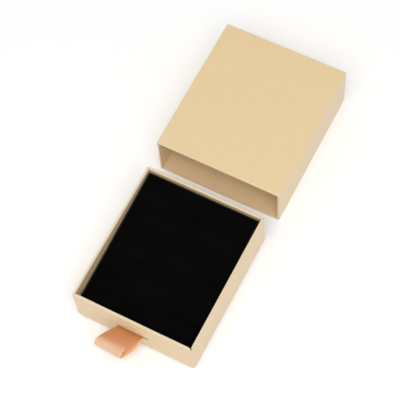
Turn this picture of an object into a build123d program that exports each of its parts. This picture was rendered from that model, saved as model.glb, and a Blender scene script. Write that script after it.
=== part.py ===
from build123d import *
import math
import os

# Sliding drawer gift box: a kraft-papered board drawer that runs in a kraft-papered board sleeve.
# Millimetres, +Z up, +Y from the sleeve's open mouth towards its closed back, origin at the centre
# of the sleeve's base. The drawer is drawn where it rests: in line with the sleeve, pulled clear
# of the mouth. Closed, it stands drawer_travel further along +Y, with its front flush.

# Driving dimensions
paper = 0.15                # wrapping paper
board = 1.1                 # greyboard that every wall is cut from
drawer_width = 76.0         # X
drawer_length = 90.0        # Y
drawer_height = 29.0        # Z
side_play = 0.6             # between a drawer side and the sleeve
top_play = 0.8              # over the drawer's rim
under_play = 0.2            # under the drawer's base
back_play = 0.6             # behind the closed drawer
drawer_gap = 15.0           # from the mouth to the back of the drawer at rest
fold_radius = 0.6           # paper folded over a board edge
mouth_turn_in = 12.0        # paper turned into the sleeve's mouth
base_margin = 2.0           # wrap left showing round each base sheet

slit_width = 20.0           # ribbon slit in the drawer's front
slit_opening = 1.2
slit_height = 13.3          # of the slit's middle over the drawer's base
ribbon_width = 16.4
ribbon_thickness = 0.35
ribbon_offset = -1.5        # the ribbon sits a little left of the slit's middle
ribbon_heading = 34.0       # degrees that the loop leans towards -X
root_gap = 0.4              # the loop's hinge line stands this far off the front
tail_length = 8.0           # each ribbon end glued up or down the inside of the front
patch_margin = 4.0          # paper patch beyond the ribbon ends

pad_depth_back = 2.0        # from the drawer's rim down to the pad's top, along the back
pad_depth_front = 9.0       # and along the front: the pad's top slopes down towards the ribbon
pad_under_gap = 0.1
pad_side_gap = 0.3
pad_back_gap = 0.4
pad_front_gap = 0.8         # leaves room for the ribbon ends and their patch
velvet = 0.5
card = 0.8                  # stiff card under the foam
pad_edge_radius = 1.0

# Worked out from them
wall = board + 2 * paper
sleeve_width = drawer_width + 2 * (side_play + wall)
sleeve_height = drawer_height + under_play + top_play + 2 * wall
sleeve_length = drawer_length + back_play + wall
mouth_y = -sleeve_length / 2
back_y = sleeve_length / 2
drawer_base = wall + under_play
drawer_top = drawer_base + drawer_height
drawer_back = mouth_y - drawer_gap
drawer_front = drawer_back - drawer_length
drawer_middle = (drawer_front + drawer_back) / 2
drawer_travel = mouth_y - drawer_front
slit_z = drawer_base + slit_height
floor_z = drawer_base + wall
pad_width = drawer_width - 2 * (wall + pad_side_gap)

os.makedirs("parts", exist_ok=True)


def save(piece, label):
    """Label a finished piece and write its STEP file."""
    piece.part.label = label
    export_step(piece.part, f"parts/{label}.step")


# ---------------------------------------------------------------- sleeve

def section_at(y):
    """The sleeve's cross-section plane: X across, Z up, middle of the sleeve's height."""
    return Plane(origin=(0, y, sleeve_height / 2), x_dir=(1, 0, 0), z_dir=(0, -1, 0))


def sleeve_panel(label, upper):
    """Top or bottom board: the sleeve's full width, its outer long edges rounded."""
    with BuildPart() as panel:
        with BuildSketch(section_at(mouth_y + paper)):
            side = 1 if upper else -1
            with Locations((0, side * (sleeve_height / 2 - paper - board / 2))):
                Rectangle(sleeve_width - 2 * paper, board)
            outer_corners = vertices().sort_by(Axis.Y)[-2:] if upper else vertices().sort_by(Axis.Y)[:2]
            fillet(outer_corners, radius=fold_radius - paper)
        extrude(amount=-(sleeve_length - 2 * paper - board))
    save(panel, label)


def sleeve_side(label, side):
    """Left (-1) or right (+1) board, standing between the top and bottom boards."""
    with BuildPart() as panel:
        with BuildSketch(section_at(mouth_y + paper)):
            with Locations((side * (sleeve_width / 2 - paper - board / 2), 0)):
                Rectangle(board, sleeve_height - 2 * (paper + board))
        extrude(amount=-(sleeve_length - 2 * paper - board))
    save(panel, label)


def sleeve_back():
    """Back board: closes the sleeve behind the other four."""
    with BuildPart() as panel:
        with BuildSketch(section_at(back_y - paper - board)):
            RectangleRounded(sleeve_width - 2 * paper, sleeve_height - 2 * paper, fold_radius - paper)
        extrude(amount=-board)
    save(panel, "sleeve_back_board")


def sleeve_wrap():
    """Outer paper: round all four sides and over the back, turned in at the mouth."""
    inner_width = sleeve_width - 2 * wall
    inner_height = sleeve_height - 2 * wall
    with BuildPart() as wrap:
        with BuildSketch(section_at(mouth_y)):
            RectangleRounded(sleeve_width, sleeve_height, fold_radius)
        extrude(amount=-sleeve_length)
        with BuildSketch(section_at(mouth_y + paper)):
            RectangleRounded(sleeve_width - 2 * paper, sleeve_height - 2 * paper, fold_radius - paper)
        extrude(amount=-(sleeve_length - 2 * paper), mode=Mode.SUBTRACT)
        with BuildSketch(section_at(mouth_y)):
            Rectangle(inner_width + 2 * paper, inner_height + 2 * paper)
        extrude(amount=-mouth_turn_in)
        with BuildSketch(section_at(mouth_y)):
            Rectangle(inner_width, inner_height)
        extrude(amount=-mouth_turn_in, mode=Mode.SUBTRACT)
        with BuildSketch(Plane.XY):
            Rectangle(sleeve_width - 2 * base_margin, sleeve_length - 2 * base_margin)
        extrude(amount=paper, mode=Mode.SUBTRACT)
    save(wrap, "sleeve_wrap")


def sleeve_liner():
    """Paper lining from the end of the mouth's turn-in to the back, and over the back."""
    liner_start = mouth_y + mouth_turn_in
    liner_length = back_y - wall + paper - liner_start
    with BuildPart() as liner:
        with BuildSketch(section_at(liner_start)):
            Rectangle(sleeve_width - 2 * (wall - paper), sleeve_height - 2 * (wall - paper))
        extrude(amount=-liner_length)
        with BuildSketch(section_at(liner_start)):
            Rectangle(sleeve_width - 2 * wall, sleeve_height - 2 * wall)
        extrude(amount=-(liner_length - paper), mode=Mode.SUBTRACT)
    save(liner, "sleeve_liner")


def base_sheet(label, width, length, middle_y, base):
    """Flat sheet glued under a base, a margin smaller than it all round."""
    with BuildPart() as sheet:
        with BuildSketch(Plane.XY.offset(base)):
            with Locations((0, middle_y)):
                Rectangle(width - 2 * base_margin, length - 2 * base_margin)
        extrude(amount=paper)
    save(sheet, label)


# ---------------------------------------------------------------- drawer

def front_plane(depth=0):
    """An upright plane this far inside the drawer's front face, centred on the ribbon slit."""
    return Plane(origin=(0, drawer_front + depth, slit_z), x_dir=(1, 0, 0), z_dir=(0, -1, 0))


def drawer_end(label, end):
    """Front (-1) or back (+1) board: full width, its outer upright edges rounded."""
    outer_y = drawer_middle + end * (drawer_length / 2 - paper - board / 2)
    with BuildPart() as panel:
        with BuildSketch(Plane.XY.offset(drawer_base + paper)):
            with Locations((0, outer_y)):
                Rectangle(drawer_width - 2 * paper, board)
            outer_corners = vertices().sort_by(Axis.Y)[-2:] if end > 0 else vertices().sort_by(Axis.Y)[:2]
            fillet(outer_corners, radius=fold_radius - paper)
        extrude(amount=drawer_height - 2 * paper)
        if end < 0:
            with BuildSketch(front_plane()):
                Rectangle(slit_width, slit_opening)
            extrude(amount=-wall, mode=Mode.SUBTRACT)
    save(panel, label)


def drawer_side(label, side):
    """Left (-1) or right (+1) board, standing between the front and back boards."""
    with BuildPart() as panel:
        with BuildSketch(Plane.XY.offset(drawer_base + paper)):
            with Locations((side * (drawer_width / 2 - paper - board / 2), drawer_middle)):
                Rectangle(board, drawer_length - 2 * (paper + board))
        extrude(amount=drawer_height - 2 * paper)
    save(panel, label)


def drawer_floor(label, lift, thickness):
    """A layer of the drawer's floor, between its four walls."""
    inset = wall - paper if label == "drawer_base_board" else wall
    with BuildPart() as layer:
        with BuildSketch(Plane.XY.offset(drawer_base + lift)):
            with Locations((0, drawer_middle)):
                Rectangle(drawer_width - 2 * inset, drawer_length - 2 * inset)
        extrude(amount=thickness)
    save(layer, label)


def drawer_wrap():
    """Outer paper: round the walls, over the rim and down their insides, and turned under."""
    inside_width = drawer_width - 2 * (wall - paper)
    inside_length = drawer_length - 2 * (wall - paper)
    with BuildPart() as wrap:
        with BuildSketch(Plane.XY.offset(drawer_base)):
            with Locations((0, drawer_middle)):
                RectangleRounded(drawer_width, drawer_length, fold_radius)
        extrude(amount=drawer_height)
        with BuildSketch(Plane.XY.offset(drawer_base + paper)):
            with Locations((0, drawer_middle)):
                RectangleRounded(drawer_width - 2 * paper, drawer_length - 2 * paper, fold_radius - paper)
                Rectangle(inside_width, inside_length, mode=Mode.SUBTRACT)
        extrude(amount=drawer_height - 2 * paper, mode=Mode.SUBTRACT)
        with BuildSketch(Plane.XY.offset(drawer_base + paper)):
            with Locations((0, drawer_middle)):
                Rectangle(drawer_width - 2 * wall, drawer_length - 2 * wall)
        extrude(amount=drawer_height, mode=Mode.SUBTRACT)
        with BuildSketch(Plane.XY.offset(drawer_base + paper)):
            with Locations((0, drawer_middle)):
                Rectangle(inside_width, inside_length)
        extrude(amount=wall - paper, mode=Mode.SUBTRACT)
        with BuildSketch(Plane.XY.offset(drawer_base)):
            with Locations((0, drawer_middle)):
                Rectangle(drawer_width - 2 * base_margin, drawer_length - 2 * base_margin)
        extrude(amount=paper, mode=Mode.SUBTRACT)
        with BuildSketch(front_plane()):
            Rectangle(slit_width, slit_opening)
        extrude(amount=-wall, mode=Mode.SUBTRACT)
    save(wrap, "drawer_wrap")


# ---------------------------------------------------------------- ribbon

def ribbon_tails():
    """The ribbon's two ends: through the slit, then up and down the inside of the front."""
    with BuildPart() as tails:
        with BuildSketch(front_plane()):
            with Locations((ribbon_offset, 0)):
                Rectangle(ribbon_width, 2 * ribbon_thickness)
        extrude(amount=-wall)
        with BuildSketch(front_plane(wall)):
            with Locations((ribbon_offset, 0)):
                Rectangle(ribbon_width, 2 * tail_length)
        extrude(amount=-ribbon_thickness)
    save(tails, "ribbon_tails")


def ribbon_patch():
    """Paper patch glued over the ribbon's ends, pressed down round them."""
    with BuildPart() as patch:
        with BuildSketch(front_plane(wall)):
            with Locations((ribbon_offset, 0)):
                Rectangle(ribbon_width + 2 * patch_margin, 2 * tail_length + patch_margin)
        extrude(amount=-(ribbon_thickness + paper))
        with BuildSketch(front_plane(wall)):
            with Locations((ribbon_offset, 0)):
                Rectangle(ribbon_width, 2 * tail_length)
        extrude(amount=-ribbon_thickness, mode=Mode.SUBTRACT)
    save(patch, "ribbon_patch")


def ribbon_loop():
    """The pull: one ribbon that leaves the slit, rounds a soft nose and comes back under itself."""
    lean = math.radians(ribbon_heading)
    heading = Vector(-math.sin(lean), -math.cos(lean), 0)
    hinge = Vector(ribbon_offset, drawer_front - root_gap, slit_z)
    loop_plane = Plane(origin=hinge, x_dir=heading, z_dir=heading.cross(Vector(0, 0, 1)))
    crest = (7.2, 1.2)
    nose_top = (14.0, -0.3)
    nose_bottom = (14.0, -7.4)
    with BuildPart() as loop:
        with BuildSketch(loop_plane) as outline:
            with BuildLine():
                upper = ThreePointArc((0, ribbon_thickness), crest, nose_top)
                nose = TangentArc(nose_top, nose_bottom, tangent=upper % 1)
                TangentArc((0, -ribbon_thickness), nose_bottom, tangent=(1, -0.1))
                ThreePointArc((0, -ribbon_thickness), (-ribbon_thickness, 0), (0, ribbon_thickness))
            make_face()
            offset(amount=-ribbon_thickness, mode=Mode.SUBTRACT)
        extrude(amount=ribbon_width / 2, dir=(1, 0, 0), both=True)
    save(loop, "ribbon_loop")


# ---------------------------------------------------------------- pad

def pad_outline(base, inset=0):
    """The pad's side view as (Y, Z) corners: level base, top sloping down to the front."""
    front = drawer_front + wall + pad_front_gap
    back = drawer_back - wall - pad_back_gap
    fall = (pad_depth_front - pad_depth_back) / (back - front)

    def top_at(y):
        return drawer_top - pad_depth_back - (back - y) * fall - inset

    front, back = front + inset, back - inset
    return (front, base), (back, base), (back, top_at(back)), (front, top_at(front))


def pad_card(base):
    """Stiff card that the foam is glued to."""
    (front, _), (back, _) = pad_outline(base, velvet)[:2]
    with BuildPart() as layer:
        with BuildSketch(Plane.XY.offset(base)):
            with Locations((0, (front + back) / 2)):
                Rectangle(pad_width - 2 * velvet, back - front)
        extrude(amount=card)
    save(layer, "pad_card")


def pad_foam(base):
    """Foam wedge on the card, inside the velvet."""
    with BuildPart() as wedge:
        with BuildSketch(Plane.YZ):
            with BuildLine():
                Polyline(*pad_outline(base, velvet), close=True)
            make_face()
        extrude(amount=pad_width / 2 - velvet, both=True)
    save(wedge, "pad_foam")


def pad_velvet(base):
    """Velvet over the top and sides of the pad, open underneath."""
    with BuildPart() as cover:
        with BuildSketch(Plane.YZ):
            with BuildLine():
                Polyline(*pad_outline(base), close=True)
            make_face()
        extrude(amount=pad_width / 2, both=True)
        fillet(cover.faces().sort_by(Axis.Z)[-1].edges(), radius=pad_edge_radius)
        with BuildSketch(Plane.YZ):
            with BuildLine():
                Polyline(*pad_outline(base, velvet), close=True)
            make_face()
        extrude(amount=pad_width / 2 - velvet, both=True, mode=Mode.SUBTRACT)
    save(cover, "pad_velvet")


def make_sleeve():
    sleeve_panel("sleeve_top_board", upper=True)
    sleeve_panel("sleeve_bottom_board", upper=False)
    sleeve_side("sleeve_left_board", -1)
    sleeve_side("sleeve_right_board", 1)
    sleeve_back()
    sleeve_wrap()
    sleeve_liner()
    base_sheet("sleeve_base_sheet", sleeve_width, sleeve_length, 0, 0)


def make_drawer():
    drawer_end("drawer_front_board", -1)
    drawer_end("drawer_back_board", 1)
    drawer_side("drawer_left_board", -1)
    drawer_side("drawer_right_board", 1)
    drawer_floor("drawer_base_board", paper, board)
    drawer_floor("drawer_floor_liner", paper + board, paper)
    drawer_wrap()
    base_sheet("drawer_base_sheet", drawer_width, drawer_length, drawer_middle, drawer_base)
    ribbon_tails()
    ribbon_patch()


def make_pad():
    pad_base = floor_z + pad_under_gap
    pad_card(pad_base)
    pad_foam(pad_base + card)
    pad_velvet(pad_base)


make_sleeve()
make_drawer()
ribbon_loop()
make_pad()
print(f"sleeve {sleeve_width:.1f} x {sleeve_length:.1f} x {sleeve_height:.1f} mm")
print(f"drawer from y {drawer_front:.1f} to {drawer_back:.1f}, base at z {drawer_base:.2f}, slit at z {slit_z:.2f}")
print(f"drawer travel {drawer_travel:.1f} mm")
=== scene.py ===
"""Sliding drawer gift box: looks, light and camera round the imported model.

The drawer rests pulled clear of its sleeve, with its ribbon pull towards the camera. Metres, +Z up,
+Y from the sleeve's open mouth to its closed back. Lengths are written in millimetres times mm.
"""
import math

import bpy
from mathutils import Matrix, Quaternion, Vector, noise

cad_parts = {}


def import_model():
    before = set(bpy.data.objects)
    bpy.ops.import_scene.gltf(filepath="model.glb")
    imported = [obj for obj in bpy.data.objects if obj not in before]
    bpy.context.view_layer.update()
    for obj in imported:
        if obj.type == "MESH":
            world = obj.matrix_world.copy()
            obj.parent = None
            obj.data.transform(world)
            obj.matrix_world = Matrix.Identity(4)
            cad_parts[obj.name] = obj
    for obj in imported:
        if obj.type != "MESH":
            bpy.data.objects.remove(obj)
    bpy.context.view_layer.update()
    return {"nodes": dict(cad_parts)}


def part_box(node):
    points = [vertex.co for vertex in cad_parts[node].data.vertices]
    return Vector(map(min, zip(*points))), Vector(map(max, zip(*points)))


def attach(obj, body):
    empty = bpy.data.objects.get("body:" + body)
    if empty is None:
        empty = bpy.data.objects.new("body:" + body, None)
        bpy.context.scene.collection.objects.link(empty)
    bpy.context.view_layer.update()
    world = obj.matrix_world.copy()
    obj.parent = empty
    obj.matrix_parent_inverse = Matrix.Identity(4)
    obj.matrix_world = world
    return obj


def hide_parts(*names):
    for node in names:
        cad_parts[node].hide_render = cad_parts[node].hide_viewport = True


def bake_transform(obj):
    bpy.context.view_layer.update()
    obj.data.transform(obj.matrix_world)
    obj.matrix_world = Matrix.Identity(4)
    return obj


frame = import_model()

mm = 0.001

# ---------------------------------------------------------------- sizes, from the frame

sleeve_low, sleeve_high = (Vector(corner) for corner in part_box("sleeve_wrap"))
drawer_low, drawer_high = (Vector(corner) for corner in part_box("drawer_wrap"))
pad_low, pad_high = (Vector(corner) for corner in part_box("pad_velvet"))
card_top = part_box("pad_card")[1][2]
liner_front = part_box("sleeve_liner")[0][1]

paper = 0.15 * mm                    # wrapping paper
wall = 1.4 * mm                      # papered board
fold = 0.45 * mm                     # radius of paper over an outer edge
inner_fold = 0.4 * mm                # and over the inner edge of a rim
sheet_step = 0.03 * mm               # the wraps stop this far inside the CAD's underside and back
slit_left, slit_right = -10 * mm, 8.8 * mm      # the cut in the paper, shorter than the board's
slit_half_height = 0.6 * mm
slit_z = drawer_low.z + 13.3 * mm    # its middle
end_paper_short = 1.2 * mm           # the drawer's end papers stop this far short of its corners
side_flap = 13 * mm                  # the side papers' flaps reach this far under them
flap_ease = 0.4 * mm                 # and show as a step that is eased over this much each way
tiny = 0.01 * mm                     # for lengths that have to count as equal
pad_fall = 7.0 * mm                  # the pad's top slopes down by this from back to front

ribbon_width = 16.4 * mm
ribbon_thickness = 0.2 * mm
ribbon_offset = -1.5 * mm            # from the drawer's middle to the ribbon's, in the slit
ribbon_lean = math.radians(31.6)


# ---------------------------------------------------------------- mesh helpers

def make_mesh(name, points, faces, body, material):
    """A smooth mesh piece that rides on a body and takes its finish from a slot."""
    data = bpy.data.meshes.new(name)
    data.from_pydata([tuple(p) for p in points], [], faces)
    data.validate()
    data.shade_smooth()
    piece = bpy.data.objects.new(name, data)
    bpy.context.scene.collection.objects.link(piece)
    data.materials.append(material)
    if body:
        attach(piece, body)
    return piece


def add_attribute(piece, name, values):
    """A number for each point of a piece, which its material reads."""
    layer = piece.data.attributes.new(name, "FLOAT", "POINT")
    layer.data.foreach_set("value", values)


def add_thickness(piece, thickness):
    """Gives a sheet its thickness behind its outer face, and keeps flat faces flat in the light."""
    solid = piece.modifiers.new("thickness", "SOLIDIFY")
    solid.thickness = thickness
    solid.offset = -1
    solid.use_even_offset = False
    normals = piece.modifiers.new("normals", "WEIGHTED_NORMAL")
    normals.keep_sharp = True


def smoothstep(low, high, x):
    t = min(1.0, max(0.0, (x - low) / (high - low)))
    return t * t * (3 - 2 * t)


def divide(low, high, step, breaks=()):
    """Places from low to high, at most about a step apart, with every break among them."""
    ends = sorted({low, high, *(b for b in breaks if low < b < high)})
    places = []
    for a, b in zip(ends, ends[1:]):
        count = max(1, round((b - a) / step))
        places += [a + (b - a) * i / count for i in range(count)]
    return places + [high]


def arc(centre, radius, start, end, steps=6):
    """Points on a circle from one angle to another, in degrees, both ends included."""
    angles = [math.radians(start + (end - start) * i / steps) for i in range(steps + 1)]
    return [(centre[0] + radius * math.cos(a), centre[1] + radius * math.sin(a)) for a in angles]


def ring(half_u, half_v, radius, u_places, v_places, corner_steps=6):
    """A rounded rectangle as (u, v, outward u, outward v), anticlockwise from its lower left corner.

    u_places and v_places run from -1 to 1 along each straight side.
    """
    run_u, run_v = half_u - radius, half_v - radius
    points = []
    sides = (
        (u_places, lambda t: (t * run_u, -half_v), (0, -1), (run_u, -run_v), -90),
        (v_places, lambda t: (half_u, t * run_v), (1, 0), (run_u, run_v), 0),
        (u_places[::-1], lambda t: (t * run_u, half_v), (0, 1), (-run_u, run_v), 90),
        (v_places[::-1], lambda t: (-half_u, t * run_v), (-1, 0), (-run_u, -run_v), 180),
    )
    for places, at, outward, centre, start in sides:
        points += [(*at(t), *outward) for t in places]
        for i in range(1, corner_steps):
            a = math.radians(start + 90 * i / corner_steps)
            c, s = math.cos(a), math.sin(a)
            points.append((centre[0] + radius * c, centre[1] + radius * s, c, s))
    return points


def skin(rings, flip=False):
    """Quads between neighbouring closed rings of equal length."""
    size = len(rings[0])
    faces = []
    for r in range(len(rings) - 1):
        for i in range(size):
            j = (i + 1) % size
            quad = (r * size + i, r * size + j, (r + 1) * size + j, (r + 1) * size + i)
            faces.append(quad[::-1] if flip else quad)
    return faces


def unevenness(point, size, height):
    """Slow swell of papered board, from noise that is the same each run."""
    return height * noise.noise(Vector(point) / size)


# ---------------------------------------------------------------- material helpers

class Shader:
    """A node material, with short ways to add and join its nodes."""

    def __init__(self, name, **fixed):
        self.material = bpy.data.materials.new(name)
        self.material.use_nodes = True
        self.nodes = self.material.node_tree.nodes
        self.links = self.material.node_tree.links
        self.surface = self.nodes["Principled BSDF"]
        for socket, value in fixed.items():
            self.surface.inputs[socket.replace("_", " ")].default_value = value

    def node(self, kind, settings=(), **inputs):
        """A new node. Inputs are values or other nodes' outputs, named with _ for a space."""
        made = self.nodes.new(kind)
        for key, value in dict(settings).items():
            setattr(made, key, value)
        for key, value in inputs.items():
            socket = made.inputs[int(key[1:])] if key[1:].isdigit() else made.inputs[key.replace("_", " ")]
            if isinstance(value, bpy.types.NodeSocket):
                self.links.new(value, socket)
            else:
                socket.default_value = value
        return made

    def math(self, operation, a, b=0.0):
        return self.node("ShaderNodeMath", {"operation": operation}, i0=a, i1=b).outputs[0]

    def between(self, value, low, high, to_low=0.0, to_high=1.0):
        """A value mapped from one range to another, and held at its ends."""
        made = self.node("ShaderNodeMapRange", {}, Value=value, From_Min=low, From_Max=high,
                         To_Min=to_low, To_Max=to_high)
        return made.outputs["Result"]

    def mix(self, share, a, b, blend="MIX"):
        """Two colours mixed."""
        made = self.node("ShaderNodeMix", {"data_type": "RGBA", "blend_type": blend})
        for socket, value in ((made.inputs[0], share), (made.inputs[6], a), (made.inputs[7], b)):
            if isinstance(value, bpy.types.NodeSocket):
                self.links.new(value, socket)
            else:
                socket.default_value = value
        return made.outputs[2]

    def place(self, scale=(1000, 1000, 1000)):
        """Where a point lies on the object, in millimetres times any stretch."""
        source = self.node("ShaderNodeTexCoord").outputs["Object"]
        return self.node("ShaderNodeMapping", {}, Vector=source, Scale=scale).outputs["Vector"]

    def noise(self, vector, scale, detail=2.0, roughness=0.5):
        made = self.node("ShaderNodeTexNoise", {}, Vector=vector, Scale=scale, Detail=detail,
                         Roughness=roughness)
        return made.outputs["Fac"]

    def attribute(self, name):
        return self.node("ShaderNodeAttribute", {"attribute_name": name}).outputs["Fac"]

    def finish(self, colour, height=None, strength=0.2, distance=0.05 * mm):
        """Joins the colour, and a height as bump, to the surface."""
        self.links.new(colour, self.surface.inputs["Base Color"])
        if height is not None:
            bump = self.node("ShaderNodeBump", {}, Height=height, Strength=strength, Distance=distance)
            self.links.new(bump.outputs["Normal"], self.surface.inputs["Normal"])
        return self.material


def kraft(name, light, dark, fleck, fold_painted_highlight):
    """Uncoated kraft paper: slow mottle, long fibres each way, sparse flecks, painted highlight on the
    paper's rounded edges, painted light on the sleeve's turned-in paper, painted shade in open mitres and
    along the slit's cut.
    """
    s = Shader(name, Roughness=0.55, IOR=1.8, Specular_IOR_Level=1.0, Sheen_Weight=0.45,
               Sheen_Roughness=0.3)
    mottle = s.noise(s.place(), 0.16, 5.0, 0.65)
    long_way, short_way = 350, 5200
    fibres = [s.noise(s.place(scale), 1.0, 1.0) for scale in (
        (long_way, short_way, short_way), (short_way, long_way, short_way), (short_way, short_way, long_way))]
    fibre = s.math("MAXIMUM", s.math("MAXIMUM", fibres[0], fibres[1]), fibres[2])
    fibre = s.between(fibre, 0.55, 0.8)
    flecks = s.between(s.noise(s.place((900, 2600, 1400)), 1.0, 2.0), 0.68, 0.76)
    tone = s.math("ADD", s.between(mottle, 0.3, 0.7, 0.0, 0.75), s.math("MULTIPLY", fibre, 0.35))
    colour = s.mix(tone, dark, light)
    colour = s.mix(s.math("MULTIPLY", flecks, 0.4), colour, fleck)
    # painted colours: a lighter kraft as light in the sleeve's shade, a near black as shade in gaps
    interior_painted_light, gap_shade_colour = (0.87, 0.655, 0.365, 1), (0.10, 0.06, 0.03, 1)
    # painted light: the sleeve's turned-in paper lightened where it lies in the sleeve's shade
    colour = s.mix(s.attribute("inside"), colour, interior_painted_light)
    # painted highlight: the paper's rounded edges made paler, as if they caught the light
    colour = s.mix(s.attribute("fold"), colour, fold_painted_highlight)
    # painted shade: near black in the rim's open mitres and along the slit's cut edges
    colour = s.mix(s.attribute("gap_painted_shade"), colour, gap_shade_colour)
    grain = s.noise(s.place(), 9.0, 3.0, 0.7)
    height = s.math("ADD", s.math("MULTIPLY", grain, 0.5), s.math("MULTIPLY", fibre, 0.5))
    return s.finish(colour, height, 0.25, 0.03 * mm)


def greyboard():
    """Raw solid board, seen only at cut edges, in a colour darkened well below the board's own as painted
    shade in the slit.
    """
    s = Shader("greyboard", Roughness=0.85, Specular_IOR_Level=0.2)
    specks = s.noise(s.place((1500, 1500, 4000)), 1.0, 3.0)
    # painted shade: both tones far darker than the board itself
    colour = s.mix(s.between(specks, 0.3, 0.7), (0.16, 0.135, 0.10, 1), (0.24, 0.205, 0.16, 1))
    return s.finish(colour, specks, 0.3, 0.05 * mm)


def pad_board():
    """Stiff black card under the foam."""
    s = Shader("pad_card", Roughness=0.7, Specular_IOR_Level=0.3)
    specks = s.noise(s.place(), 3.0, 3.0)
    colour = s.mix(s.between(specks, 0.35, 0.7), (0.012, 0.012, 0.012, 1), (0.03, 0.028, 0.027, 1))
    return s.finish(colour, specks, 0.2, 0.04 * mm)


def foam():
    """Firm black foam, hidden inside the velvet."""
    s = Shader("pad_foam", Roughness=0.95, Specular_IOR_Level=0.1)
    cells = s.node("ShaderNodeTexVoronoi", {}, Vector=s.place(), Scale=1.6).outputs["Distance"]
    colour = s.mix(s.between(cells, 0.0, 0.6), (0.004, 0.004, 0.004, 1), (0.02, 0.02, 0.02, 1))
    return s.finish(colour, cells, 0.6, 0.2 * mm)


def velvet():
    """Short black pile: brushed patches, fine tufts, a faint bloom at grazing angles."""
    s = Shader("black_velvet", Roughness=0.9, Specular_IOR_Level=0.03, Sheen_Weight=0.012,
               Sheen_Roughness=0.35)
    brushed = s.noise(s.place((40, 110, 60)), 1.0, 3.0, 0.6)
    tufts = s.noise(s.place(), 5.5, 2.0, 0.6)
    tone = s.math("ADD", s.between(brushed, 0.3, 0.7, 0.0, 0.6), s.between(tufts, 0.35, 0.75, 0.0, 0.4))
    colour = s.mix(tone, (0.0009, 0.0008, 0.0008, 1), (0.0030, 0.0026, 0.0025, 1))
    return s.finish(colour, tufts, 0.5, 0.12 * mm)


def satin():
    """Peach satin: fine ribs across the ribbon, edges paler from the selvedge's weave and a painted
    highlight, a painted highlight on the nose, painted light on the lower ply in the loop's shade.
    """
    s = Shader("peach_satin", Roughness=0.38, Specular_IOR_Level=0.55, Sheen_Weight=0.2,
               Sheen_Roughness=0.3, Anisotropic=0.4, Subsurface_Weight=0.8,
               Subsurface_Radius=(1.0, 0.55, 0.3), Subsurface_Scale=0.6 * mm)
    along, across = s.attribute("along"), s.attribute("across")
    rib_pitch, thread_pitch = 0.28, 0.16                # millimetres, as along and across are
    rib = s.math("SINE", s.math("MULTIPLY", along, 2 * math.pi / rib_pitch))
    thread = s.math("SINE", s.math("MULTIPLY", across, 2 * math.pi / thread_pitch))
    streak = s.noise(s.node("ShaderNodeCombineXYZ", {}, X=s.math("MULTIPLY", across, 2.2),
                            Y=s.math("MULTIPLY", along, 0.12)).outputs[0], 1.0, 2.0)
    colour = s.mix(s.between(streak, 0.3, 0.7), (0.50, 0.215, 0.070, 1), (0.60, 0.27, 0.095, 1))
    # painted highlight on the nose, painted light on the lower ply, and edges paler partly as painted
    # highlight
    nose_painted_highlight, lower_ply_painted_light, selvedge_and_highlight = (0.86, 0.54, 0.34, 1), (0.90, 0.52, 0.25, 1), (0.72, 0.42, 0.22, 1)
    # painted highlight over the nose's bend
    colour = s.mix(s.attribute("nose"), colour, nose_painted_highlight)
    # painted light: the lower ply, in the loop's shade, made paler
    colour = s.mix(s.attribute("lower_ply_light_shares"), colour, lower_ply_painted_light)
    # edges paler, partly the selvedge's own weave and partly a painted highlight along the curled edges
    selvedge = s.between(s.math("ABSOLUTE", across), 7.9, 8.3, 0.0, 0.35)
    colour = s.mix(selvedge, colour, selvedge_and_highlight)
    height = s.math("ADD", s.math("MULTIPLY", rib, 0.35), s.math("MULTIPLY", thread, 0.2))
    return s.finish(colour, height, 0.12, 0.03 * mm)


kraft_wrap = kraft("kraft_wrap", (0.768, 0.547, 0.268, 1), (0.712, 0.507, 0.240, 1),
                   (0.45, 0.29, 0.14, 1), (0.70, 0.555, 0.35, 1))
# lining and base papers lighter than the wrap: painted light for the sleeve's shaded interior
kraft_lining = kraft("kraft_lining", (0.86, 0.645, 0.36, 1), (0.82, 0.61, 0.33, 1),
                     (0.42, 0.27, 0.13, 1), (0.86, 0.68, 0.43, 1))
board_painted_shade = greyboard()
black_card = pad_board()
black_foam = foam()
black_velvet = velvet()
peach_satin = satin()


# ---------------------------------------------------------------- drawer wrap

def end_paper_lift(u, half):
    """The front and back papers lie over the side papers' flaps, and stop just short of the corner."""
    if abs(u) > half - end_paper_short:
        return 0.0
    lift, over_flap = 0.10 * mm, 0.05 * mm
    flap_end = half - side_flap
    return lift + over_flap * smoothstep(flap_end - flap_ease, flap_end + flap_ease, abs(u))


def drawer_profile():
    """(inset, height, share of painted highlight on the rounded edges) from under the base, up the wall, over
    the rim and down to the floor.
    """
    height = drawer_high.z - drawer_low.z
    base = sheet_step
    turned_under = 3 * mm
    rows = [(turned_under, base, 0.0)]
    rows += [(x, z, 0.3) for x, z in arc((fold, base + fold), fold, 270, 180)]
    beside_fold = 0.4 * mm
    breaks = [base + fold + beside_fold, height - fold - beside_fold]
    slit = slit_z - drawer_low.z
    for away in (slit_half_height, 1.2 * mm, 2.5 * mm):
        breaks += [slit - away, slit + away]
    rows += [(0.0, z, 0.0) for z in divide(base + fold, height - fold, 3.5 * mm, breaks)[1:-1]]
    rows += [(x, z, 0.8) for x, z in arc((fold, height - fold), fold, 180, 90)]
    rows += [(x, z, 0.8) for x, z in arc((wall - inner_fold, height - inner_fold), inner_fold, 90, 0)]
    inside = divide(wall, height - inner_fold, 5 * mm, [height - 1.2 * mm])[:-1]
    rows += [(wall, z, 0.0) for z in reversed(inside)]
    return rows


def mitre_sink(inset, from_corner, radius, front_right):
    """How far the rim's paper drops at a mitred corner: a hair, but wide open at the front right."""
    spread, starts, depth = 0.0, 0.15 * mm, 0.14 * mm
    if front_right:
        spread, starts, depth = 0.6 * inset / wall * mm, 0.4 * mm, 1.1 * mm
    in_joint = from_corner < radius + tiny + spread
    return depth if in_joint and starts < inset <= wall else 0.0


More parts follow.
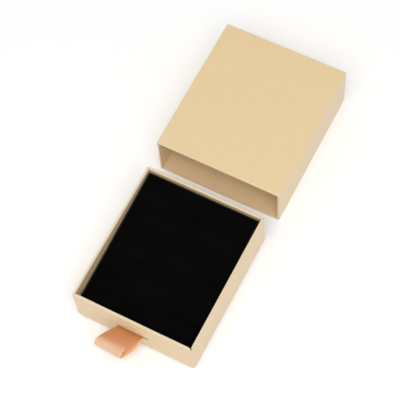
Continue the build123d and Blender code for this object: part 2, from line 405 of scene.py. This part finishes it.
def drawer_wrap():
    """Kraft paper over the drawer's walls, with its slit, lapped corners and mitred rim."""
    half_x = (drawer_high.x - drawer_low.x) / 2
    half_y = (drawer_high.y - drawer_low.y) / 2
    middle = (drawer_low + drawer_high) / 2
    edge = half_x - fold - end_paper_short
    hair = 0.06 * mm
    flap_end = half_x - side_flap
    beside_slit = 1.5 * mm
    mitre_steps = [d * mm for d in (0.14, 0.28, 0.42, 0.56, 0.7)]     # across an open joint at a rim corner
    laps = (edge, edge + hair, flap_end - flap_ease, flap_end + flap_ease)
    x_breaks = [s * v for s in (-1, 1) for v in laps]
    x_breaks += [slit_left - beside_slit, slit_left, slit_right, slit_right + beside_slit]
    run_x, run_y = half_x - fold, half_y - fold
    x_breaks += [s * (run_x - d) for s in (-1, 1) for d in mitre_steps]
    y_breaks = [s * (run_y - d) for s in (-1, 1) for d in mitre_steps]
    u_places = [x / run_x for x in divide(-run_x, run_x, 4 * mm, x_breaks)]
    v_places = [y / run_y for y in divide(-run_y, run_y, 4 * mm, y_breaks)]
    corner_steps = 8
    points, fold_highlight_shares, gap_shade_shares, rings = [], [], [], []
    profile = drawer_profile()
    height = drawer_high.z - drawer_low.z
    slit = slit_z - drawer_low.z
    rim_depth, full_shade_depth = 1.0 * mm, 0.8 * mm          # painted shade is full at a sink of the second depth
    sharpest = 0.12 * mm
    pout, pout_reach, pout_beside = 0.16 * mm, 1.1 * mm, 1 * mm      # the paper stands out round the slit
    straight = 0.99                                     # a side's own outward direction, not a corner's
    for inset, z, fold_highlight_share in profile:
        radius = max(fold - inset, sharpest)
        loop = ring(half_x - inset, half_y - inset, radius, u_places, v_places, corner_steps)
        rings.append(loop)
        on_rim = z > height - rim_depth
        outside = inset == 0.0
        for u, v, nu, nv in loop:
            lift = 0.0
            if z > fold and abs(nv) > straight:
                lift = end_paper_lift(u * half_x / (half_x - inset), half_x)
            on_front = outside and nv < -straight
            if on_front and slit_left - pout_beside < u < slit_right + pout_beside:
                lift += pout * math.exp(-((z - slit) / pout_reach) ** 2)
            x, y = middle.x + u, middle.y + v
            lift += unevenness((x, y, z), 22 * mm, 0.05 * mm) if inset in (0.0, wall) else 0.0
            side = math.cos(math.pi * inset / wall)     # outward on the outside, inward on the inside
            from_corner = max(half_x - inset - abs(u), half_y - inset - abs(v))
            front_right = nu >= 0 >= nv and u > 0 > v
            sink = mitre_sink(inset, from_corner, radius, front_right) if on_rim else 0.0
            points.append((x + nu * lift * side, y + nv * lift * side, drawer_low.z + z - sink))
            fold_highlight_shares.append(fold_highlight_share)
            # painted shade along the slit's cut edges and in the rim's sunk mitres
            at_cut = abs(abs(z - slit) - slit_half_height) < tiny and slit_left <= u <= slit_right
            shaded = 0.85 if on_front and at_cut else 0.0
            gap_shade_shares.append(max(shaded, min(1.0, sink / full_shade_depth)))
    faces = skin(rings)
    kept = []
    for face in faces:
        centre = sum((Vector(points[i]) for i in face), Vector()) / 4
        in_slit = slit_left < centre.x < slit_right and abs(centre.z - slit_z) < slit_half_height
        if not (in_slit and centre.y < middle.y - half_y + 0.5 * mm):
            kept.append(face)
    piece = make_mesh("drawer_wrap_paper", points, kept, "drawer", kraft_wrap)
    add_attribute(piece, "fold", fold_highlight_shares)
    add_attribute(piece, "gap_painted_shade", gap_shade_shares)
    add_thickness(piece, paper)
    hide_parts("drawer_wrap")
    return piece


# ---------------------------------------------------------------- sleeve wrap

def sleeve_profile():
    """(inset, y, share of painted highlight on the rounded edges, share of painted light on the turned-in
    paper) from inside the mouth, round its lip, along the outside, onto the back.
    """
    mouth, back = sleeve_low.y, sleeve_high.y - sheet_step
    lip = 0.5 * mm
    turned_in = wall + 0.05 * mm
    back_reach = 2.2 * mm
    beside_folds = [mouth + 1.2 * mm, back - fold - 0.6 * mm]
    inner_places = divide(mouth + inner_fold, liner_front, 3 * mm, [mouth + 1 * mm])[1:]
    outer_places = divide(mouth + lip, back - fold, 4 * mm, beside_folds)
    rows = [(turned_in, y, 0.0, 1.0) for y in reversed(inner_places)]
    rows += [(x, y, 0.6, 0.6) for x, y in arc((wall - inner_fold, mouth + inner_fold), inner_fold, 0, -90)]
    rows += [(x, y, 0.6, 0.0) for x, y in arc((lip, mouth + lip), lip, 270, 180)]
    rows += [(0.0, y, 0.0, 0.0) for y in outer_places[1:-1]]
    rows += [(x, y, 0.3, 0.0) for x, y in arc((fold, back - fold), fold, 180, 90)]
    rows += [(back_reach, back, 0.0, 0.0)]
    return rows


def sleeve_wrap():
    """Kraft paper round the sleeve, turned into its mouth, with a closed back."""
    half_x = (sleeve_high.x - sleeve_low.x) / 2
    half_z = (sleeve_high.z - sleeve_low.z - sheet_step) / 2
    middle_z = sleeve_low.z + sheet_step + half_z
    run_x, run_z = half_x - fold, half_z - fold
    near = 0.6 * mm
    sharpest = 0.15 * mm
    # painted highlight down the sleeve's rounded corners
    corner_painted_highlight = 0.35
    straight = 0.99                                     # a side's own outward direction, not a corner's
    u_places = [x / run_x for x in divide(-run_x, run_x, 4 * mm, [near - run_x, run_x - near])]
    v_places = [z / run_z for z in divide(-run_z, run_z, 4 * mm, [near - run_z, run_z - near])]
    points, fold_highlight_shares, interior_light_shares, rings = [], [], [], []
    for inset, y, fold_highlight_share, inside in sleeve_profile():
        radius = max(fold - inset, sharpest)
        loop = ring(half_x - inset, half_z - inset, radius, u_places, v_places)
        rings.append(loop)
        outside = inset == 0.0
        for u, v, nu, nv in loop:
            under = nv <= -0.9
            swell = unevenness((u, y, v), 24 * mm, 0.06 * mm) if outside and not under else 0.0
            at_corner = outside and abs(nu) < straight and abs(nv) < straight
            points.append((u + nu * swell, y, middle_z + v + nv * swell))
            fold_highlight_shares.append(max(fold_highlight_share, corner_painted_highlight if at_corner else 0.0))
            interior_light_shares.append(inside)
    faces = skin(rings, flip=True)
    size = len(rings[0])
    last = (len(rings) - 1) * size
    faces.append(tuple(reversed(range(last, last + size))))
    piece = make_mesh("sleeve_wrap_paper", points, faces, "sleeve", kraft_wrap)
    add_attribute(piece, "fold", fold_highlight_shares)
    # share of painted light on the turned-in paper
    add_attribute(piece, "inside", interior_light_shares)
    add_thickness(piece, paper)
    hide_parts("sleeve_wrap")
    return piece


def back_flap(name, outline, depth):
    """One end flap of the sleeve's paper, glued flat over the back."""
    sunk = 0.02 * mm                     # into the paper it is glued to
    front = sleeve_high.y - sheet_step - sunk
    back = front + depth
    count = len(outline)
    points = [(x, front, z) for x, z in outline] + [(x, back, z) for x, z in outline]
    faces = [tuple(range(count)), tuple(reversed(range(count, 2 * count)))]
    faces += [(i, i + count, (i + 1) % count + count, (i + 1) % count) for i in range(count)]
    piece = make_mesh(name, points, faces, "sleeve", kraft_wrap)
    piece.data.shade_flat()
    add_attribute(piece, "fold", [0.0] * len(points))
    return piece


def back_flaps():
    """The top flap goes down first, then the bottom flap over it."""
    low, high = sleeve_low.z + 0.8 * mm, sleeve_high.z - 0.7 * mm
    width, narrow = 39.2 * mm, 35.8 * mm
    top_end, bottom_end = 11 * mm, 26.5 * mm
    top_depth, bottom_depth = 0.1 * mm, 0.21 * mm
    top = [(-width, high), (width, high), (narrow, top_end), (-narrow, top_end)]
    bottom = [(-width, low), (width, low), (narrow, bottom_end), (-narrow, bottom_end)]
    back_flap("sleeve_back_top_flap", top, top_depth)
    back_flap("sleeve_back_bottom_flap", bottom[::-1], bottom_depth)


# ---------------------------------------------------------------- pad

def velvet_pad():
    """Velvet drawn over firm foam: soft edges, sides a little waisted, turned under the card."""
    half_x = (pad_high.x - pad_low.x) / 2
    half_y = (pad_high.y - pad_low.y) / 2
    middle = (pad_low + pad_high) / 2
    height = pad_high.z - pad_low.z
    top_edge, bottom_edge, corner, sharpest = 1.3 * mm, 0.7 * mm, 1.6 * mm, 0.3 * mm
    waist_depth = 0.25 * mm
    edge_drop, edge_starts, edge_reach = 0.25 * mm, 0.2 * mm, 12 * mm    # the top falls off at its edges
    rows = [(6 * mm, 0.35 * mm), (5.9 * mm, 0.0)]       # the velvet's end, turned up into the card
    rows += [(d, z) for d, z in arc((bottom_edge, bottom_edge), bottom_edge, 270, 180, 5)]
    rows += [(0.0, z) for z in divide(bottom_edge, height - top_edge, 3 * mm)[1:-1]]
    rows += [(d, z) for d, z in arc((top_edge, height - top_edge), top_edge, 180, 90, 7)]
    rows += [(d * mm, height) for d in (2, 3.2, 5, 7.5, 10.5, 14, 18, 22, 26, 30, 34)]
    u_places = [x / half_x for x in divide(-half_x, half_x, 3 * mm)]
    v_places = [y / half_y for y in divide(-half_y, half_y, 3 * mm)]
    points, rings = [], []
    wall_low, wall_high = bottom_edge, height - top_edge
    for inset, z in rows:
        radius = max(corner - inset, sharpest)
        on_side = inset < 1 * mm
        share_up = min(1.0, max(0.0, (z - wall_low) / (wall_high - wall_low)))
        loop = ring(half_x - inset, half_y - inset, radius, u_places, v_places, 7)
        rings.append(loop)
        waist = waist_depth * math.sin(math.pi * min(1.0, z / height)) if inset == 0.0 else 0.0
        for u, v, nu, nv in loop:
            x, y = middle.x + u - nu * waist, middle.y + v - nv * waist
            rise = -pad_fall * share_up * (pad_high.y - y) / (pad_high.y - pad_low.y)
            if z > height - top_edge:
                inward = min(1.0, max(0.0, (inset - edge_starts) / edge_reach))
                rise -= edge_drop * (1 - inward) ** 2
                rise += unevenness((x, y, 0), 16 * mm, 0.12 * mm) * inward - 0.1 * mm
            wave = unevenness((x, y, z), 12 * mm, 0.08 * mm) - 0.08 * mm if on_side else 0.0
            points.append((x + nu * wave, y + nv * wave, pad_low.z + z + rise))
    faces = skin(rings)
    size = len(rings[0])
    last = (len(rings) - 1) * size
    faces.append(tuple(last + i for i in range(size)))
    faces.append(tuple(reversed(range(size))))
    piece = make_mesh("velvet_pad", points, faces, "pad", black_velvet)
    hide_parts("pad_velvet")
    return piece


def card_under_pad():
    """The card, let in a little above the velvet that is turned under it."""
    inset, lift = 5.5 * mm, 0.12 * mm
    low = Vector((pad_low.x + inset, pad_low.y + inset, pad_low.z + lift))
    high = Vector((pad_high.x - inset, pad_high.y - inset, card_top))
    corners = [(low.x, low.y), (high.x, low.y), (high.x, high.y), (low.x, high.y)]
    points = [(x, y, z) for z in (low.z, high.z) for x, y in corners]
    faces = [(3, 2, 1, 0), (4, 5, 6, 7)] + [(i, (i + 1) % 4, (i + 1) % 4 + 4, i + 4) for i in range(4)]
    piece = make_mesh("pad_card_under", points, faces, "pad", black_card)
    piece.data.shade_flat()
    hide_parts("pad_card")
    return piece


# ---------------------------------------------------------------- ribbon

def b_spline(control, per_span):
    """A smooth cubic curve that is drawn towards its control points."""
    points = []
    for i in range(len(control) - 3):
        a, b, c, d = (Vector(p) for p in control[i:i + 4])
        for k in range(per_span):
            t = k / per_span
            points.append((a * (1 - t) ** 3 + b * (3 * t ** 3 - 6 * t ** 2 + 4)
                           + c * (-3 * t ** 3 + 3 * t ** 2 + 3 * t + 1) + d * t ** 3) / 6)
    return points


def ribbon_path():
    """(out of the front, above the slit) along the ribbon, from its upper glued end to its lower.

    The control points are in millimetres.
    """
    behind_wall = 0.13
    inside = -wall / mm - behind_wall
    over, under = -0.34, -0.5                           # the two plies in the slit
    upper_tail = [(inside, up) for up in (8.6, 8.0, 6.0, 3.0, 1.0, over)]
    out_over = [(-0.7, over), (0.1, over), (1.0, -0.1), (2.8, 0.8), (5.8, 1.4), (9.2, 1.15), (11.7, 0.3)]
    nose = [(12.6, -0.5), (13.2, -1.8), (13.8, -3.8), (14.6, -6.2), (14.8, -7.5), (14.0, -7.9), (12.4, -7.4)]
    back_under = [(9.2, -5.8), (6.2, -3.9), (3.2, -2.0), (1.2, -0.85), (0.1, under), (-0.7, under)]
    lower_tail = [(inside, up) for up in (under, -1.4, -3.0, -6.0, -8.0, -8.6)]
    control = upper_tail + out_over + nose + back_under + lower_tail
    return [p * mm for p in b_spline(control, 4)]


def satin_ribbon():
    """The pull and its glued ends as one ribbon, leaning to the left outside the slit."""
    path = ribbon_path()
    front = drawer_low.y
    half = ribbon_width / 2
    beside_edges = [0.35 * mm - half, 0.9 * mm - half, half - 0.9 * mm, half - 0.35 * mm]
    across = divide(-half, half, 1.3 * mm, beside_edges)
    ridge = 12.0 * mm
    ridge_start, ridge_end = ridge - 2.4 * mm, ridge + 1.4 * mm      # the nose's painted highlight fades in here
    nose_foot_low, nose_foot_high = -8.2 * mm, -7.2 * mm             # and out again here
    cup_depth = 0.22 * mm
    reach_length = 14 * mm
    nose_slant = 0.4 * mm                # the nose's right end stands out further, and lower
    askew = 1.1 * mm                     # the ribbon comes back this far to the right
    flare = 1.1 * mm                     # and lies open this much wider at the nose than in the slit
    lowest = max(range(len(path)), key=lambda i: path[i].x - path[i].y)
    points, along_mm, across_mm, nose_highlight_shares, lower_ply_light_shares = [], [], [], [], []
    length = 0.0
    for i, at in enumerate(path):
        length += (at - path[i - 1]).length if i else 0.0
        out, up = at
        outside = smoothstep(0.2 * mm, 4 * mm, out)
        reach = max(0.0, out) / reach_length
        shift = ribbon_offset - max(0.0, out) * math.tan(ribbon_lean)
        if i > lowest:
            between = smoothstep(0.5 * mm, 4.5 * mm, out) * (1 - smoothstep(8 * mm, 14 * mm, out))
            shift += askew * between
        before, after = path[max(0, i - 1)], path[min(len(path) - 1, i + 1)]
        tangent = (after - before).normalized()
        normal = Vector((-tangent.y, tangent.x))
        for u in across:
            share = u / half
            spread = flare * smoothstep(1 * mm, 12 * mm, out) * (share + 1) / 2
            cup = outside * (unevenness((u, length, 0.3), 6 * mm, 0.16 * mm) - cup_depth * share ** 4)
            slant = nose_slant * share * reach
            points.append((shift + u + spread, front - (out + slant + normal.x * cup),
                           slit_z + up - slant + normal.y * cup))
            along_mm.append(length / mm)
            across_mm.append(u / mm)
            past_ridge = smoothstep(ridge_start, ridge_end, out)
            nose_highlight_shares.append(past_ridge * smoothstep(nose_foot_low, nose_foot_high, up))
            # share of painted light, on the lower ply past the loop's lowest point
            lower_ply_light_shares.append(float(i > lowest + 2))
    size = len(across)
    faces = [(r * size + i, (r + 1) * size + i, (r + 1) * size + i + 1, r * size + i + 1)
             for r in range(len(path) - 1) for i in range(size - 1)]
    piece = make_mesh("satin_ribbon", points, faces, None, peach_satin)
    add_attribute(piece, "along", along_mm)
    add_attribute(piece, "across", across_mm)
    add_attribute(piece, "nose", nose_highlight_shares)
    add_attribute(piece, "lower_ply_light_shares", lower_ply_light_shares)
    solid = piece.modifiers.new("thickness", "SOLIDIFY")
    solid.thickness = ribbon_thickness
    solid.offset = 0
    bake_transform(piece)
    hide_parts("ribbon_loop", "ribbon_tails")
    return piece


# ---------------------------------------------------------------- CAD nodes that stay

def dress_nodes():
    """Materials for the CAD pieces that show as they are."""
    linings = ("sleeve_liner", "drawer_floor_liner", "sleeve_base_sheet", "drawer_base_sheet", "ribbon_patch")
    for name, node in frame["nodes"].items():
        if name in linings:
            material = kraft_lining
        elif name.endswith("_board"):
            material = board_painted_shade
        elif name == "pad_foam":
            material = black_foam
        else:
            continue
        for i in range(len(node.material_slots)):
            node.material_slots[i].material = material


# ---------------------------------------------------------------- floor, light and camera

def floor():
    """White table that still takes the object's shadow, and stays white to the eye far from the light."""
    size = 2.0
    near, far = 0.3, 0.9
    near_glow, far_glow = 0.12, 0.5
    corners = [(-size, -size, 0), (size, -size, 0), (size, size, 0), (-size, size, 0)]
    data = bpy.data.meshes.new("table")
    data.from_pydata(corners, [], [(0, 1, 2, 3)])
    table = bpy.data.objects.new("table", data)
    bpy.context.scene.collection.objects.link(table)
    table.location.z = -0.05 * mm
    s = Shader("white_table", Base_Color=(0.93, 0.93, 0.93, 1), Roughness=0.9, Specular_IOR_Level=0.0,
               Emission_Color=(1, 1, 1, 1))
    ray = s.node("ShaderNodeLightPath").outputs
    seen = s.math("MAXIMUM", ray["Is Camera Ray"], ray["Is Glossy Ray"])
    away = s.node("ShaderNodeVectorMath", {"operation": "LENGTH"}, i0=s.place((1, 1, 1))).outputs["Value"]
    glow = s.between(away, near, far, near_glow, far_glow)
    s.links.new(s.math("MULTIPLY", seen, glow), s.surface.inputs["Emission Strength"])
    data.materials.append(s.material)


def world():
    """White surroundings, dimmer as light than they look to the eye and in reflections."""
    sky = bpy.data.worlds.new("surroundings")
    bpy.context.scene.world = sky
    sky.use_nodes = True
    nodes, links = sky.node_tree.nodes, sky.node_tree.links
    background = nodes["Background"]
    background.inputs["Color"].default_value = (1, 1, 1, 1)
    ray = nodes.new("ShaderNodeLightPath")
    seen = nodes.new("ShaderNodeMath")
    seen.operation = "MAXIMUM"
    strength = nodes.new("ShaderNodeMapRange")
    strength.inputs["To Min"].default_value = 0.6
    strength.inputs["To Max"].default_value = 1.0
    links.new(ray.outputs["Is Camera Ray"], seen.inputs[0])
    links.new(ray.outputs["Is Glossy Ray"], seen.inputs[1])
    links.new(seen.outputs[0], strength.inputs["Value"])
    links.new(strength.outputs["Result"], background.inputs["Strength"])


def area_light(name, place, aim, size, power):
    lamp = bpy.data.lights.new(name, "AREA")
    lamp.shape = "RECTANGLE"
    lamp.size, lamp.size_y = size
    lamp.energy = power
    light = bpy.data.objects.new(name, lamp)
    bpy.context.scene.collection.objects.link(light)
    light.location = place
    light.rotation_euler = (Vector(aim) - Vector(place)).to_track_quat("-Z", "Y").to_euler()


def lights():
    area_light("front_softbox", (0.22, -0.48, 0.99), (0, -0.06, 0), (0.9, 0.7), 6.2)


def camera():
    """The photograph's view of the drawer, from where its camera stood, aimed to take in the sleeve."""
    azimuth, elevation, roll = math.radians(32.945), math.radians(64.15), math.radians(6.119)
    place = Vector((188.8, -359.1, 748.8)) * mm
    back = Vector((math.sin(azimuth) * math.cos(elevation), -math.cos(azimuth) * math.cos(elevation),
                   math.sin(elevation)))
    lens = bpy.data.cameras.new("camera")
    lens.lens, lens.sensor_width = 124.5, 36
    made = bpy.data.objects.new("camera", lens)
    bpy.context.scene.collection.objects.link(made)
    made.location = place
    made.rotation_mode = "QUATERNION"
    made.rotation_quaternion = Quaternion(back, -roll) @ (-back).to_track_quat("-Z", "Y")
    bpy.context.scene.camera = made


dress_nodes()
drawer_wrap()
sleeve_wrap()
back_flaps()
velvet_pad()
card_under_pad()
satin_ribbon()
floor()
world()
lights()
camera()
bpy.context.scene.view_settings.view_transform = "Standard"
